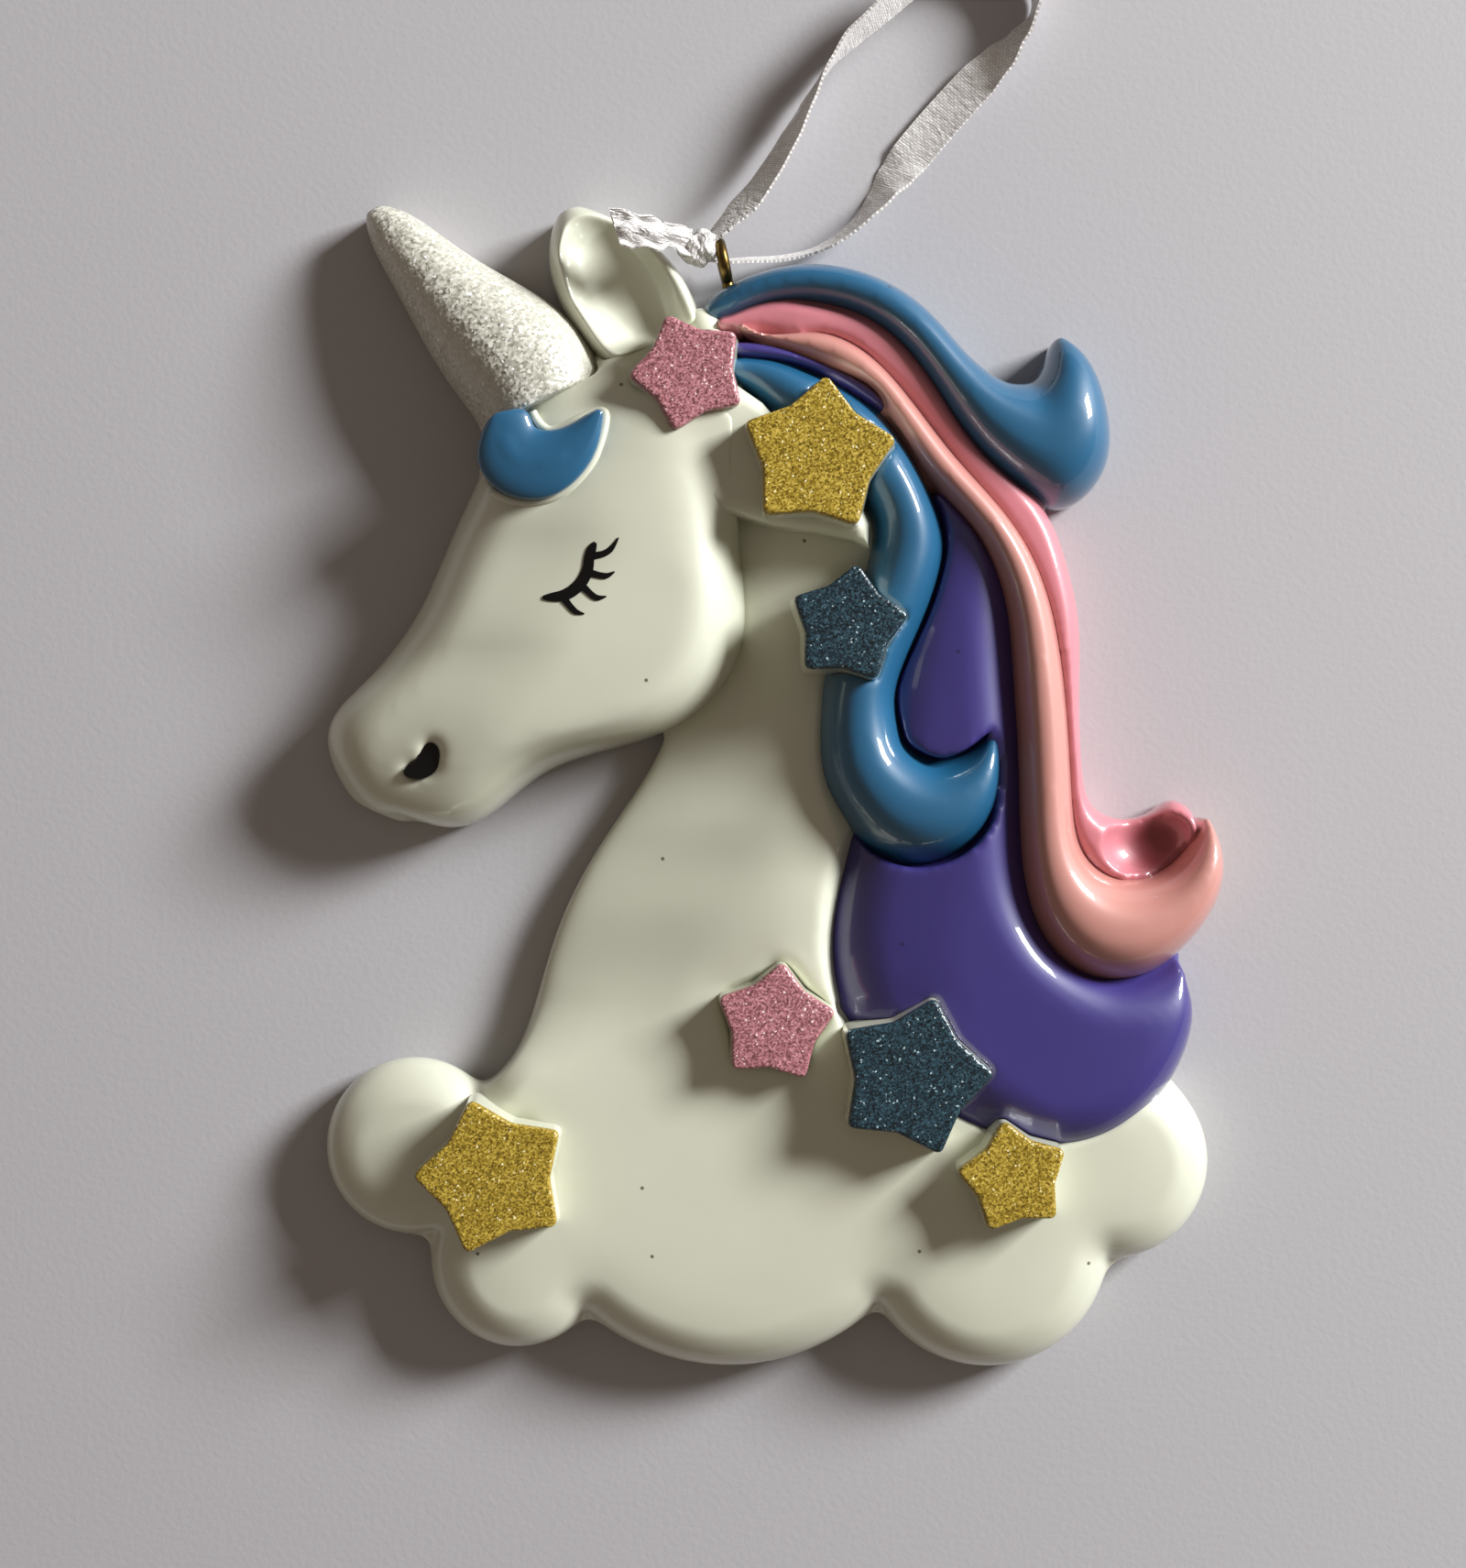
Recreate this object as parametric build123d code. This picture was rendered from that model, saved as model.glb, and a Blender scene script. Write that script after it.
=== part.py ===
"""Unicorn hanging ornament: a flat-backed relief of glossy painted pieces, a brass screw eye and a ribbon.

Millimetres. The ornament lies on its back: X runs to the right of the picture, Y up it, Z towards the viewer.
The back of every cast piece is the plane Z = 0, and the origin is under the middle of the casting's box.
"""
from build123d import *
import os
from math import cos, radians, sin

# Depths of the relief over its flat back
EDGE_WALL = 2.5          # upright edge below the rounding, all round the casting
CLOUD_DEPTH = 7.0
NECK_DEPTH = 7.4
HEAD_DEPTH = 11.0
HORN_DEPTH = 9.5
EAR_DEPTH = 6.8
FORELOCK_DEPTH = 11.0
REAR_LOCK_DEPTH = 9.2
FRONT_LOCK_DEPTH = 10.6
RIDGE_DEPTH = 10.4
BAND_DEPTH = 7.2
PURPLE_DEPTH = 9.0
STRAND_DEPTH = 8.0

# Width of the rounding over an edge, where a form isn't rounded right across
PUFF_ROUND = 7.5
BODY_ROUND = 7.5
HEAD_ROUND = 5.5
EAR_ROUND = 2.6
BAND_ROUND = 1.8
PURPLE_ROUND = 6.0
FULL_ROUND = 0.92        # most of a half width that a rounding may take

# Ear scoop, curl hollow and nostril
SCOOP_MIDDLE = (-14.7, 48.0)
SCOOP_TURN = -56.0       # heading of the scoop's axis, degrees
SCOOP_HEIGHT = 9.6       # height of the scoop's axis
SCOOP_RADIUS = 5.4
SCOOP_LENGTH = 17.0
HOLLOW_MIDDLE = (35.2, -5.2)
HOLLOW_TURN = 14.0       # heading of the hollow in the pink curl, degrees
HOLLOW_HEIGHT = 7.4      # height of the hollow's axis
HOLLOW_RADIUS = 3.6
HOLLOW_LENGTH = 9.0
NOSTRIL_LINE = [(-33.6, 1.5), (-32.2, 1.9), (-31.8, 3.4)]
NOSTRIL_WIDTH = 1.7
NOSTRIL_FLOOR = 7.6      # height of the nostril's flat floor

# Stars
STAR_WAIST = 0.70        # inner corner over outer corner
STAR_DRAFT = 4.0         # slope of the sides, degrees
STAR_CORNER = 0.5        # corner radius
STAR_DEPTH = 5.4         # from the seat to the face

# Screw eye
EYE_X = -4.7
EYE_Y = 49.6
EYE_HEIGHT = 4.0         # height of the ring's middle
EYE_RING = 4.6           # outer diameter of the ring
EYE_WIRE = 1.1
EYE_LEAN = 12.0          # lean of the shank, degrees
SHANK_LENGTH = 5.0       # length in the casting
SHANK_CLEARANCE = 0.05

# Ribbon
RIBBON_WIDTH = 4.0
RIBBON_THICK = 0.4
RIBBON_TILT = 45.0       # slope of the ribbon's width, degrees
RIBBON_BUNDLE = 1.5      # diameter where it is gathered through the eye
KNOT_X = -7.5
KNOT_Y = 50.8
KNOT_WIDTH = 3.6
KNOT_LENGTH = 3.2
TAIL_HEIGHT = 8.2        # height at which the tail lies over the ear
TAIL_RISE = 2.4          # length over which it climbs from the knot
TAIL_LENGTH = 7.6        # from the knot's middle to the cut end
TAIL_TURN = 165.0        # heading of the tail, degrees from +X
TAIL_ROOT = 1.8          # width where it leaves the knot
TAIL_SLANT = 1.0         # how much further one corner of the cut end reaches
TAIL_BEND = 1.5          # radius at the top of the climb
BUNDLE_END = 4.0         # reach of the gathered ribbon beyond the eye
LOOP_ROUTE = [
    (-8.2, 51.6), (0.8, 62.0), (6.0, 69.8), (10.6, 75.6), (17.6, 78.6), (23.8, 75.6),
    (22.6, 69.2), (14.4, 60.6), (9.0, 54.6), (4.6, 52.0), (-0.9, 50.6),
]

# Outlines: each station across a form is (one edge, the other edge, share of the form's depth)
EAR = [
    ((-20.3, 54.2), (-18.2, 55.0), 0.60),
    ((-21.1, 51.8), (-14.6, 53.5), 0.90),
    ((-20.9, 48.2), (-10.6, 50.7), 1.00),
    ((-19.3, 44.2), (-8.2, 47.6), 1.00),
    ((-15.6, 39.8), (-6.6, 44.0), 1.00),
]
FORELOCK = [
    ((-25.2, 34.4), (-26.2, 33.7), 0.85),
    ((-23.6, 34.7), (-26.9, 32.4), 0.95),
    ((-22.6, 34.2), (-27.1, 29.6), 1.00),
    ((-22.2, 33.2), (-25.2, 27.3), 1.00),
    ((-21.2, 32.7), (-21.8, 26.5), 1.00),
    ((-19.6, 32.9), (-18.8, 27.8), 1.00),
    ((-18.0, 33.7), (-16.7, 30.4), 0.97),
    ((-16.8, 34.4), (-15.9, 33.2), 0.92),
    ((-16.2, 34.7), (-15.7, 34.3), 0.85),
]
HORN = [
    ((-38.6, 54.3), (-37.3, 55.1), 0.34),
    ((-37.6, 50.6), (-33.4, 53.6), 0.56),
    ((-35.0, 45.8), (-28.6, 50.2), 0.76),
    ((-31.9, 40.2), (-22.8, 46.8), 0.92),
    ((-28.2, 34.9), (-17.2, 41.4), 1.00),
    ((-27.4, 33.0), (-16.2, 38.6), 1.00),
]
HEAD = [
    ((-16.6, 41.4), (-2.6, 43.2), 0.80),
    ((-22.0, 37.8), (-3.0, 38.0), 0.88),
    ((-26.0, 33.0), (-3.6, 32.0), 0.95),
    ((-28.2, 28.2), (-3.4, 25.0), 1.00),
    ((-30.4, 23.4), (-2.6, 17.0), 1.00),
    ((-33.0, 17.4), (-4.0, 10.6), 1.00),
    ((-35.8, 13.0), (-9.5, 5.6), 0.98),
    ((-38.6, 9.9), (-17.0, 3.2), 0.95),
    ((-41.2, 7.2), (-22.6, 0.8), 0.91),
    ((-42.2, 4.2), (-27.2, -2.8), 0.86),
    ((-41.0, 0.6), (-31.5, -3.8), 0.72),
    ((-38.6, -1.9), (-35.2, -3.4), 0.46),
]
NECK = [
    ((-5.0, 39.0), (2.0, 39.5), 1.0),
    ((-7.0, 27.0), (9.6, 26.0), 1.0),
    ((-8.0, 12.0), (8.5, 13.0), 1.0),
    ((-11.0, 2.6), (8.5, 3.0), 1.0),
    ((-16.2, -5.4), (9.0, -7.0), 1.0),
    ((-20.6, -14.2), (11.0, -17.0), 1.0),
    ((-22.6, -21.0), (16.0, -23.0), 1.0),
    ((-24.6, -25.6), (22.0, -27.0), 1.0),
    ((-29.0, -29.6), (28.0, -31.0), 1.0),
    ((-25.0, -40.0), (26.0, -41.0), 0.74),
]
REAR_LOCK = [
    ((-6.6, 45.0), (-5.6, 43.6), 0.66),
    ((-4.0, 47.4), (-2.6, 44.5), 0.76),
    ((2.0, 49.2), (2.0, 45.4), 0.86),
    ((8.6, 48.5), (7.4, 44.3), 0.92),
    ((14.2, 45.3), (11.6, 41.5), 0.96),
    ((18.6, 40.6), (15.4, 36.6), 0.98),
    ((22.0, 38.2), (18.6, 32.0), 1.00),
    ((23.6, 38.1), (22.4, 28.4), 1.00),
    ((24.6, 38.3), (27.4, 26.4), 1.00),
    ((25.3, 39.0), (31.3, 29.8), 0.98),
    ((25.8, 40.0), (31.8, 34.6), 0.88),
    ((26.1, 41.0), (30.4, 39.4), 0.72),
    ((26.5, 41.9), (29.0, 41.3), 0.58),
    ((26.9, 42.4), (27.6, 42.4), 0.45),
]
FRONT_LOCK = [
    ((-3.6, 39.9), (-3.5, 37.9), 0.76),
    ((1.0, 40.0), (-0.6, 35.6), 0.86),
    ((6.2, 37.9), (2.4, 31.8), 0.95),
    ((10.6, 34.8), (6.0, 28.6), 0.98),
    ((13.6, 30.4), (8.6, 26.0), 1.00),
    ((15.8, 25.4), (9.3, 23.4), 1.00),
    ((16.2, 21.0), (8.7, 20.6), 1.00),
    ((15.4, 18.0), (7.6, 17.6), 1.00),
    ((13.9, 14.2), (5.6, 13.4), 0.98),
    ((12.3, 10.6), (4.6, 9.6), 0.98),
    ((11.8, 7.6), (4.2, 4.4), 0.98),
    ((12.3, 5.0), (4.9, -0.4), 1.00),
    ((13.4, 3.5), (7.2, -4.2), 1.02),
    ((15.0, 2.8), (11.6, -7.4), 1.02),
    ((16.6, 2.9), (16.8, -6.9), 1.00),
    ((18.1, 3.6), (20.2, -3.8), 0.96),
    ((19.4, 4.6), (21.3, 0.4), 0.88),
    ((20.2, 5.1), (20.9, 4.3), 0.74),
]
RIDGE = [
    ((-3.4, 42.6), (-2.8, 43.6), 0.72),
    ((2.3, 40.0), (3.4, 42.8), 0.82),
    ((6.6, 38.0), (8.6, 41.0), 0.87),
    ((10.2, 34.6), (13.0, 36.4), 0.90),
    ((13.8, 29.2), (17.4, 30.8), 0.92),
    ((18.2, 24.2), (22.4, 25.0), 0.95),
    ((21.2, 18.0), (25.6, 19.0), 0.96),
    ((22.2, 10.0), (27.4, 10.6), 0.98),
    ((22.7, 0.0), (28.2, 0.0), 1.00),
    ((23.0, -7.0), (28.8, -5.0), 1.01),
    ((24.8, -13.8), (30.4, -7.4), 1.02),
    ((28.8, -17.8), (32.4, -8.4), 1.02),
    ((34.0, -18.2), (34.8, -8.5), 1.00),
    ((38.8, -15.2), (37.2, -7.5), 0.96),
    ((41.9, -10.6), (38.8, -5.9), 0.92),
    ((42.3, -6.6), (39.8, -4.2), 0.82),
    ((41.0, -3.0), (40.2, -2.8), 0.62),
]
BAND = [
    ((-5.2, 42.6), (-5.0, 44.2), 0.90),
    ((2.4, 41.2), (2.0, 46.0), 0.97),
    ((8.0, 39.5), (9.2, 44.2), 1.00),
    ((12.0, 36.0), (14.6, 39.4), 1.00),
    ((16.5, 30.0), (20.4, 31.5), 0.98),
    ((20.6, 25.0), (25.6, 26.2), 0.97),
    ((22.6, 20.4), (27.7, 21.4), 0.97),
    ((24.4, 15.6), (28.9, 16.0), 0.97),
    ((26.0, 8.6), (29.0, 8.8), 0.96),
    ((27.2, 1.6), (29.2, 1.8), 0.95),
    ((28.5, -6.0), (30.6, -2.2), 0.94),
    ((32.0, -9.4), (33.4, -3.2), 0.92),
    ((36.4, -9.2), (36.4, -2.3), 0.90),
    ((39.9, -5.2), (39.3, -2.1), 0.88),
]
PURPLE = [
    ((13.4, 27.4), (18.6, 27.0), 0.90),
    ((13.0, 20.0), (22.4, 20.5), 0.95),
    ((10.0, 12.0), (23.4, 12.5), 0.98),
    ((8.5, 3.0), (24.0, 3.5), 1.00),
    ((6.8, -4.8), (24.2, -5.0), 1.00),
    ((5.4, -10.8), (25.2, -11.0), 1.00),
    ((5.0, -16.4), (27.4, -15.0), 1.00),
    ((6.8, -23.0), (29.8, -16.8), 1.00),
    ((14.0, -30.5), (32.0, -17.4), 1.00),
    ((22.5, -34.2), (33.8, -17.4), 0.98),
    ((30.2, -34.0), (35.4, -17.0), 0.95),
    ((36.2, -29.8), (36.6, -16.4), 0.90),
    ((39.4, -23.6), (37.4, -16.0), 0.78),
    ((38.8, -18.4), (37.9, -15.8), 0.62),
]
STRAND = [
    ((-3.7, 40.5), (-3.5, 41.2), 0.85),
    ((-2.2, 39.9), (-1.9, 41.7), 1.00),
    ((1.8, 39.3), (2.3, 40.6), 1.00),
    ((5.0, 38.0), (5.8, 39.2), 1.00),
    ((7.4, 36.3), (8.8, 37.8), 1.00),
    ((9.2, 35.2), (10.3, 36.4), 0.96),
    ((10.2, 34.7), (10.8, 35.3), 0.85),
]
PUFFS = [
    (-34.1, -34.2, 8.4), (-24.2, -45.0, 8.3), (-4.2, -34.5, 20.5),
    (20.2, -43.3, 11.8), (32.0, -35.5, 9.4), (18.9, -32.4, 8.7),
]
STARS = {
    "star_pink_ear": (-7.8, 38.2, 5.6, 39.7, 11.0),
    "star_yellow_mane": (4.0, 30.3, 7.3, 11.7, 12.6),
    "star_blue_mane": (6.8, 14.8, 5.6, 9.6, 12.4),
    "star_pink_neck": (0.1, -22.0, 5.7, 11.0, 9.8),
    "star_blue_cloud": (12.8, -26.8, 7.5, 1.8, 11.0),
    "star_yellow_right": (22.2, -36.2, 5.3, 28.5, 10.4),
    "star_yellow_left": (-26.0, -36.2, 7.4, 34.8, 9.8),
}


def section(left, right, crest, rounding):
    """Upright section across a form: flat foot, two walls, two rounded shoulders and a flat between them."""
    across = Vector(*right) - Vector(*left)
    half = across.length / 2
    middle = (Vector(*left) + Vector(*right)) / 2
    plane = Plane(origin=middle, x_dir=across, z_dir=(across.Y, -across.X, 0))
    rounding = min(rounding, FULL_ROUND * half)
    inner = half - rounding
    outline = Curve() + [
        Line((-half, -EDGE_WALL), (half, -EDGE_WALL)),
        Line((half, -EDGE_WALL), (half, EDGE_WALL)),
        EllipticalCenterArc((inner, EDGE_WALL), rounding, crest - EDGE_WALL, start_angle=0, arc_size=90),
        Line((inner, crest), (-inner, crest)),
        EllipticalCenterArc((-inner, EDGE_WALL), rounding, crest - EDGE_WALL, start_angle=90, arc_size=90),
        Line((-half, EDGE_WALL), (-half, -EDGE_WALL)),
    ]
    return plane * make_face(outline)


def relief(stations, depth, rounding):
    """Form lofted through its stations, rubbed flat on the back."""
    form = loft([section(left, right, share * depth, rounding) for left, right, share in stations])
    return split(form, bisect_by=Plane.XY, keep=Keep.TOP)


def puff(x, y, radius):
    """Round puff of cloud: flat top, rounded edge and a short upright wall."""
    inner = radius - PUFF_ROUND
    profile = Curve() + [
        Line((0, 0), (radius, 0)),
        Line((radius, 0), (radius, EDGE_WALL)),
        EllipticalCenterArc((inner, EDGE_WALL), PUFF_ROUND, CLOUD_DEPTH - EDGE_WALL, start_angle=0, arc_size=90),
        Line((inner, CLOUD_DEPTH), (0, CLOUD_DEPTH)),
        Line((0, CLOUD_DEPTH), (0, 0)),
    ]
    return Pos(x, y, 0) * revolve(Plane.XZ * make_face(profile), Axis.Z)


def star(x, y, radius, turn, top):
    """Five-pointed star with rounded corners and sloping sides, from its seat up to its face."""
    corners = []
    for n in range(10):
        reach = radius if n % 2 == 0 else radius * STAR_WAIST
        angle = radians(turn + 36 * n)
        corners.append((reach * cos(angle), reach * sin(angle)))
    outline = make_face(Polyline(*corners, close=True))
    outline = fillet(outline.vertices(), STAR_CORNER)
    return Pos(x, y, top) * extrude(outline, amount=-STAR_DEPTH, taper=-STAR_DRAFT)


def egg(middle, height, turn, length, radius):
    """Long egg on a level axis, to be sunk into a form."""
    centre = Vector(*middle, height)
    plane = Plane(centre, x_dir=(cos(radians(turn)), sin(radians(turn)), 0), z_dir=(0, 0, 1))
    upper_half = Pos(0, radius) * Rectangle(length, 2 * radius)
    return revolve(plane * (Ellipse(length / 2, radius) & upper_half), Axis(centre, plane.x_dir))


def carve(piece, tools):
    """The piece without what the tools take out of it, and without threads that a cut leaves at its edge."""
    box = piece.bounding_box()
    near = [tool for tool in tools if box.overlaps(tool.bounding_box())]
    if not near:
        return piece
    return max((piece - near).solids(), key=lambda solid: solid.volume)


# Cast forms, from the uppermost layer down
forms = {
    "ear": relief(EAR, EAR_DEPTH, EAR_ROUND),
    "forelock": relief(FORELOCK, FORELOCK_DEPTH, FORELOCK_DEPTH),
    "purple_strand": relief(STRAND, STRAND_DEPTH, STRAND_DEPTH),
    "front_lock": relief(FRONT_LOCK, FRONT_LOCK_DEPTH, FRONT_LOCK_DEPTH),
    "pink_ridge": relief(RIDGE, RIDGE_DEPTH, RIDGE_DEPTH),
    "rear_lock": relief(REAR_LOCK, REAR_LOCK_DEPTH, REAR_LOCK_DEPTH),
    "pink_band": relief(BAND, BAND_DEPTH, BAND_ROUND),
    "purple_lock": relief(PURPLE, PURPLE_DEPTH, PURPLE_ROUND),
    "horn": relief(HORN, HORN_DEPTH, HORN_DEPTH),
    "head": relief(HEAD, HEAD_DEPTH, HEAD_ROUND),
    "body": relief(NECK, NECK_DEPTH, BODY_ROUND),
}
for x, y, radius in PUFFS:
    forms["body"] += puff(x, y, radius)
for name, form in forms.items():
    if not form.is_valid or len(form.solids()) != 1:
        raise ValueError(f"{name} is not one sound solid")
stars = {name: star(*place) for name, place in STARS.items()}

# Ear scoop along the leaf's middle line, and the hollow inside the pink curl
scoop = egg(SCOOP_MIDDLE, SCOOP_HEIGHT, SCOOP_TURN, SCOOP_LENGTH, SCOOP_RADIUS)
hollow = egg(HOLLOW_MIDDLE, HOLLOW_HEIGHT, HOLLOW_TURN, HOLLOW_LENGTH, HOLLOW_RADIUS)

# Nostril: a short curved slot sunk in the muzzle
nostril = Pos(0, 0, NOSTRIL_FLOOR) * extrude(SlotArc(ThreePointArc(*NOSTRIL_LINE), NOSTRIL_WIDTH), amount=HEAD_DEPTH)

# Screw eye: ring and shank lie in one upright plane
eye = Vector(EYE_X, EYE_Y, EYE_HEIGHT)
shank_way = Vector(sin(radians(EYE_LEAN)), -cos(radians(EYE_LEAN)), 0)
eye_axis = Vector(cos(radians(EYE_LEAN)), sin(radians(EYE_LEAN)), 0)
ring_radius = (EYE_RING - EYE_WIRE) / 2
ring = Plane(origin=eye, x_dir=shank_way, z_dir=eye_axis) * Torus(ring_radius, EYE_WIRE / 2)
shank_plane = Plane(origin=eye + shank_way * ring_radius, z_dir=shank_way)
shank_reach = EYE_WIRE / 2 + SHANK_LENGTH
shank = extrude(shank_plane * Circle(EYE_WIRE / 2), amount=shank_reach)
shank_hole = extrude(shank_plane * Circle(EYE_WIRE / 2 + SHANK_CLEARANCE), amount=shank_reach + SHANK_CLEARANCE)

# Each form stops against the ones laid over it, and takes the stars, the shank and the sunk features
pieces = {}
blocks = []
for name, form in forms.items():
    sunk = {"ear": [scoop], "head": [nostril], "pink_band": [hollow]}.get(name, [])
    piece = carve(form.solid(), sunk)
    for block in blocks:
        piece = carve(piece, [block])
    pieces[name] = carve(piece, [*stars.values(), shank_hole])
    foot = form.faces().sort_by(Axis.Z)[0]
    blocks.append(extrude(foot, amount=2 * HEAD_DEPTH, dir=(0, 0, 1)))
for name, shape in stars.items():
    pieces[name] = shape.solid()
pieces["screw_eye"] = (ring + shank).solid()

# Ribbon: gathered through the eye, knotted beside it, with one tail over the ear and the long loop
knot_centre = Vector(KNOT_X, KNOT_Y, EYE_HEIGHT)
knot_plane = Plane(origin=knot_centre, x_dir=eye_axis, z_dir=(0, 0, 1))
side = Curve() + [
    Line((-KNOT_LENGTH / 2, 0), (KNOT_LENGTH / 2, 0)),
    Line((KNOT_LENGTH / 2, 0), (KNOT_LENGTH / 2, KNOT_WIDTH / 4)),
    ThreePointArc((KNOT_LENGTH / 2, KNOT_WIDTH / 4), (0, KNOT_WIDTH / 2), (-KNOT_LENGTH / 2, KNOT_WIDTH / 4)),
    Line((-KNOT_LENGTH / 2, KNOT_WIDTH / 4), (-KNOT_LENGTH / 2, 0)),
]
knot = revolve(knot_plane * make_face(side), Axis(knot_centre, eye_axis))
bundle_start = eye - eye_axis * (eye - knot_centre).dot(eye_axis)
bundle_plane = Plane(origin=bundle_start, z_dir=eye_axis)
bundle_length = (eye - bundle_start).length + BUNDLE_END
knot += extrude(bundle_plane * Circle(RIBBON_BUNDLE / 2), amount=bundle_length)
pieces["ribbon_knot"] = knot.solid()

route = [Vector(x, y, EYE_HEIGHT) for x, y in LOOP_ROUTE]
bends = []
for before, here, after in zip(route, route[1:], route[2:]):
    turn = (here - before).get_angle(after - here)
    run = min((here - before).length, (after - here).length)
    bends.append(0.45 * run / (sin(radians(turn / 2)) / cos(radians(turn / 2))))
print("ribbon bend radii", [round(bend, 1) for bend in bends])
loop_line = FilletPolyline(*route, radius=bends)
loop_plane = Plane(origin=loop_line @ 0, x_dir=(0, 0, 1), z_dir=loop_line % 0)
strip = loop_plane * Rot(0, 0, RIBBON_TILT) * Rectangle(RIBBON_WIDTH, RIBBON_THICK)
loop = sweep(strip, path=loop_line)
print("ribbon loop", round(loop_line.length, 1), "mm;", round(loop.volume / (RIBBON_WIDTH * RIBBON_THICK), 1))
pieces["ribbon_loop"] = carve(loop.solid(), [knot])

tail_way = Vector(cos(radians(TAIL_TURN)), sin(radians(TAIL_TURN)), 0)
tail_plane = Plane(origin=knot_centre, x_dir=tail_way, z_dir=tail_way.cross(Vector(0, 0, 1)))
climb = TAIL_HEIGHT - EYE_HEIGHT
tail_line = tail_plane * FilletPolyline(
    (0, 0), (TAIL_RISE, climb), (TAIL_LENGTH + TAIL_SLANT, climb), radius=TAIL_BEND)
tail_section = Plane(origin=tail_line @ 0, x_dir=tail_plane.z_dir, z_dir=tail_line % 0)
tail = sweep(tail_section * Rectangle(RIBBON_WIDTH, RIBBON_THICK), path=tail_line)
tail_shape = Polyline(
    (0, -TAIL_ROOT / 2), (TAIL_RISE, -TAIL_ROOT / 2), (TAIL_LENGTH - TAIL_SLANT, -RIBBON_WIDTH / 2),
    (TAIL_LENGTH, RIBBON_WIDTH / 2), (TAIL_RISE, TAIL_ROOT / 2), (0, TAIL_ROOT / 2), close=True)
tail &= Plane(knot_centre, x_dir=tail_way, z_dir=(0, 0, 1)) * extrude(make_face(tail_shape), amount=2 * climb)
pieces["ribbon_tail"] = carve(tail.solid(), [knot, loop])

# Origin under the middle of the casting, ribbon apart
cast = Compound([piece for name, piece in pieces.items() if not name.startswith("ribbon")])
middle = cast.bounding_box().center()
shift = Pos(-middle.X, -middle.Y, 0)
print("moved by", round(-middle.X, 3), round(-middle.Y, 3), "size", cast.bounding_box().size)
os.makedirs("parts", exist_ok=True)
for name, piece in pieces.items():
    placed = shift * piece
    print(name, placed.is_valid, len(placed.solids()), round(placed.volume, 1))
    export_step(placed, f"parts/{name}.step")
print("hinge through", shift * Vertex(*eye), "along", eye_axis)
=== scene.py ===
# %% [markdown]
# A unicorn ornament, cast in resin with a flat back, painted by hand, dipped in clear lacquer and
# trimmed with glitter. It hangs by a satin ribbon from a brass screw eye, and here it lies on paper.
# The solid model comes in first, as a fixed frame: every piece below is made in its metres and places.

# %% Load the frame
import bpy
import math
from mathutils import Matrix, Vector, kdtree


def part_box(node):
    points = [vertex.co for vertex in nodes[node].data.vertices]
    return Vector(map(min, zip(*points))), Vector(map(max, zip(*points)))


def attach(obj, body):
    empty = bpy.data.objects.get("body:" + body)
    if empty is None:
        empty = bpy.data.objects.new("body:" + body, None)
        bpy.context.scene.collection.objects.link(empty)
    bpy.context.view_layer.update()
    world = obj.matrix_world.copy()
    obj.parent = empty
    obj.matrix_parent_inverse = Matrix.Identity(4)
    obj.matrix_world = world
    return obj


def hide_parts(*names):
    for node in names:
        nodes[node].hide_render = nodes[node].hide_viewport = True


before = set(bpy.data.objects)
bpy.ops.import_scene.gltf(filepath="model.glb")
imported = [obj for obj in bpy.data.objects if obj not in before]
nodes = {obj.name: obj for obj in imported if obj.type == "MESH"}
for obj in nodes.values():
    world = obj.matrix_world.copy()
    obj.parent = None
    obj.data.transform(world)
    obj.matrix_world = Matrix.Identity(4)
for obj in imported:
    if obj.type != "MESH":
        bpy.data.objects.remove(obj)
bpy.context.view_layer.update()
MM = 0.001
scene = bpy.context.scene

# %% [markdown]
# The picture was taken from straight above, close enough that the thick parts look a little larger.
# A camera with no rotation looks down with +Y at the top, so it only needs a height and a lens. The
# lens follows from the height and from how much of the table the picture shows from top to bottom.

# %% Camera
CAMERA_HEIGHT = 260 * MM
SEEN_HEIGHT = 150.6 * MM
bpy.ops.object.select_all(action="DESELECT")
bpy.ops.object.camera_add(location=(-3.72 * MM, 0.2 * MM, CAMERA_HEIGHT), rotation=(0, 0, 0))
camera = bpy.context.object
camera.data.sensor_fit = "VERTICAL"
camera.data.sensor_height = 36
camera.data.lens = 36 * CAMERA_HEIGHT / SEEN_HEIGHT
camera.data.clip_start = 0.01
scene.camera = camera
scene.view_settings.view_transform = "Standard"
print("lens:", round(camera.data.lens, 1), "mm")

# %% [markdown]
# Every material is drawn by nodes. Two helpers serve them all: one turns a colour that is written as
# on a paint chart into the linear numbers that Blender mixes with, and one adds a node.

# %% Colour and node helpers
def paint(code):
    """Linear colour with alpha, from an sRGB hex code."""
    parts = [int(code[i:i + 2], 16) / 255 for i in (1, 3, 5)]
    linear = [p / 12.92 if p <= 0.04045 else ((p + 0.055) / 1.055) ** 2.4 for p in parts]
    return (*linear, 1)


def node(tree, kind, links=None, values=None, **settings):
    """Add a node, set its properties and sockets, and link what feeds it."""
    made = tree.nodes.new(kind)
    for name, value in settings.items():
        setattr(made, name, value)
    for name, value in (values or {}).items():
        made.inputs[name].default_value = value
    for name, source in (links or {}).items():
        tree.links.new(source, made.inputs[name])
    return made


def new_material(name):
    """A material with its node tree and its Principled shader."""
    material = bpy.data.materials.new(name)
    material.use_nodes = True
    return material, material.node_tree, material.node_tree.nodes["Principled BSDF"]


print("helpers ready")

# %% [markdown]
# The ornament lies on a sheet of cartridge paper: matt, pale grey with a touch of lilac, and a faint
# tooth. A plane is enough for it, and noise at the size of the paper's fibres gives the tooth.

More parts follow.
